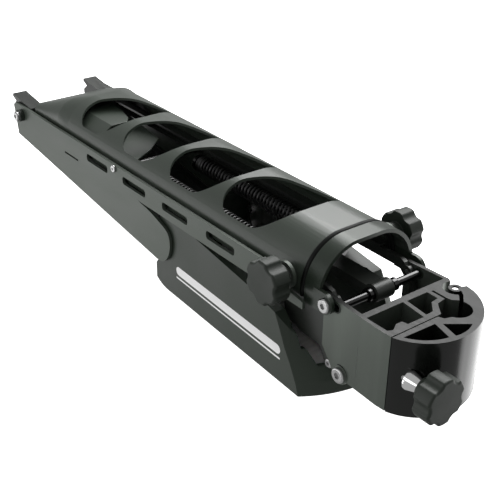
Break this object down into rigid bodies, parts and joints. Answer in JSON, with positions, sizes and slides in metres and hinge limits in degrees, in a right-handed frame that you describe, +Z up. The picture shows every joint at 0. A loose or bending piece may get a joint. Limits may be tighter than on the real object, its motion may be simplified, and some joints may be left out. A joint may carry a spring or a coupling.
{
  "type": "trolling motor bow mount",
  "caption": "Folding bow mount for an electric trolling motor: base with side plates, swinging arm under a windowed cover, spring breakaway head with a hinged shaft clamp.",
  "frame": {"origin": "middle of the four deck bolt holes, on the deck face", "axes": "+X from the swing pivot towards the shaft clamp, +Y to the left, +Z up from the deck"},
  "size_m": [0.7414, 0.1856, 0.1511],
  "materials": {
    "moulded_black": "moulded, fine grain",
    "bare_alloy": "bare sheet",
    "stainless": "stainless, satin",
    "black_metal": "black, satin",
    "plate_black": "black anodised, satin",
    "cover_black": "black, satin to gloss",
    "hoop_black": "black, satin",
    "extrusion_black": "black anodised extrusion",
    "door_black": "black anodised, glossier",
    "knob_black": "moulded, fine grain",
    "black_rubber": "matt",
    "dark_steel": "oiled dark steel",
    "spring_steel": "dark spring wire",
    "chrome_plate": "polished"
  },
  "bodies": {
    "base": {"base_housing": "moulded_black", "deck_plate": "bare_alloy", "side_brackets": "bare_alloy", "bracket_screws": "stainless", "base_pan": "black_metal", "left_side_plate": "plate_black", "right_side_plate": "plate_black", "side_screws": "stainless", "swing_bushings": "knob_black", "swing_bolts": "stainless", "lock_washers": "stainless", "rest_pads": "black_rubber"},
    "arm": {"left_arm_rail": "black_metal", "right_arm_rail": "black_metal", "top_cover": "cover_black", "cover_rim": "cover_black", "inner_tray": "black_metal", "cross_ties": "dark_steel", "hoop": "hoop_black", "left_arm_leg": "black_metal", "right_arm_leg": "black_metal", "stop_screws": "stainless", "leg_screws": "stainless", "anchor_plate": "dark_steel", "right_spring": "spring_steel", "left_spring": "spring_steel"},
    "spring_link": {"link": "black_metal", "pull_rods": "dark_steel", "spring_cups": "dark_steel"},
    "head": {"clamp_block": "extrusion_black", "pull_pin": "dark_steel", "pin_bushes": "knob_black", "pin_collars": "dark_steel", "tilt_screws": "stainless", "hinge_pin": "stainless", "clamp_nut": "dark_steel"},
    "door": {"door": "door_black", "clamp_washer": "chrome_plate"},
    "clamp_knob": {"clamp_knob": "knob_black", "clamp_stud": "stainless"},
    "left_lock": {"left_lock_knob": "knob_black", "left_lock_stud": "stainless"},
    "right_lock": {"right_lock_knob": "knob_black", "right_lock_stud": "stainless"}
  },
  "joints": [
    {"name": "arm_swing", "type": "hinge", "parent": "base", "child": "arm", "pos_m": [-0.435, 0, 0.104], "axis": [0, -1, 0], "range_deg": [0, 180]},
    {"name": "head_breakaway", "type": "hinge", "parent": "arm", "child": "head", "pos_m": [0.158, 0, 0.04], "axis": [0, 1, 0], "range_deg": [0, 30], "stiffness_Nm_per_rad": 12, "springref_deg": -20.05, "deforming": ["right_spring", "left_spring"]},
    {"name": "link_pivot", "type": "hinge", "parent": "head", "child": "spring_link", "pos_m": [0.1475, 0, 0.104], "axis": [0, 1, 0], "range_deg": [-30, 0]},
    {"name": "door_hinge", "type": "hinge", "parent": "head", "child": "door", "pos_m": [0.1928, 0.0465, 0.0735], "axis": [0, 0, 1], "range_deg": [0, 80]},
    {"name": "clamp_knob_turn", "type": "hinge", "parent": "door", "child": "clamp_knob", "pos_m": [0.26, -0.0465, 0.075], "axis": [1, 0, 0], "continuous": true},
    {"name": "left_lock_turn", "type": "hinge", "parent": "base", "child": "left_lock", "pos_m": [0.09, 0.08, 0.1145], "axis": [0, 1, 0], "continuous": true},
    {"name": "right_lock_turn", "type": "hinge", "parent": "base", "child": "right_lock", "pos_m": [0.09, -0.08, 0.1145], "axis": [0, -1, 0], "continuous": true}
  ],
  "couplings": [
    {"joint": "link_pivot", "follows": "head_breakaway", "ratio": -1}
  ]
}
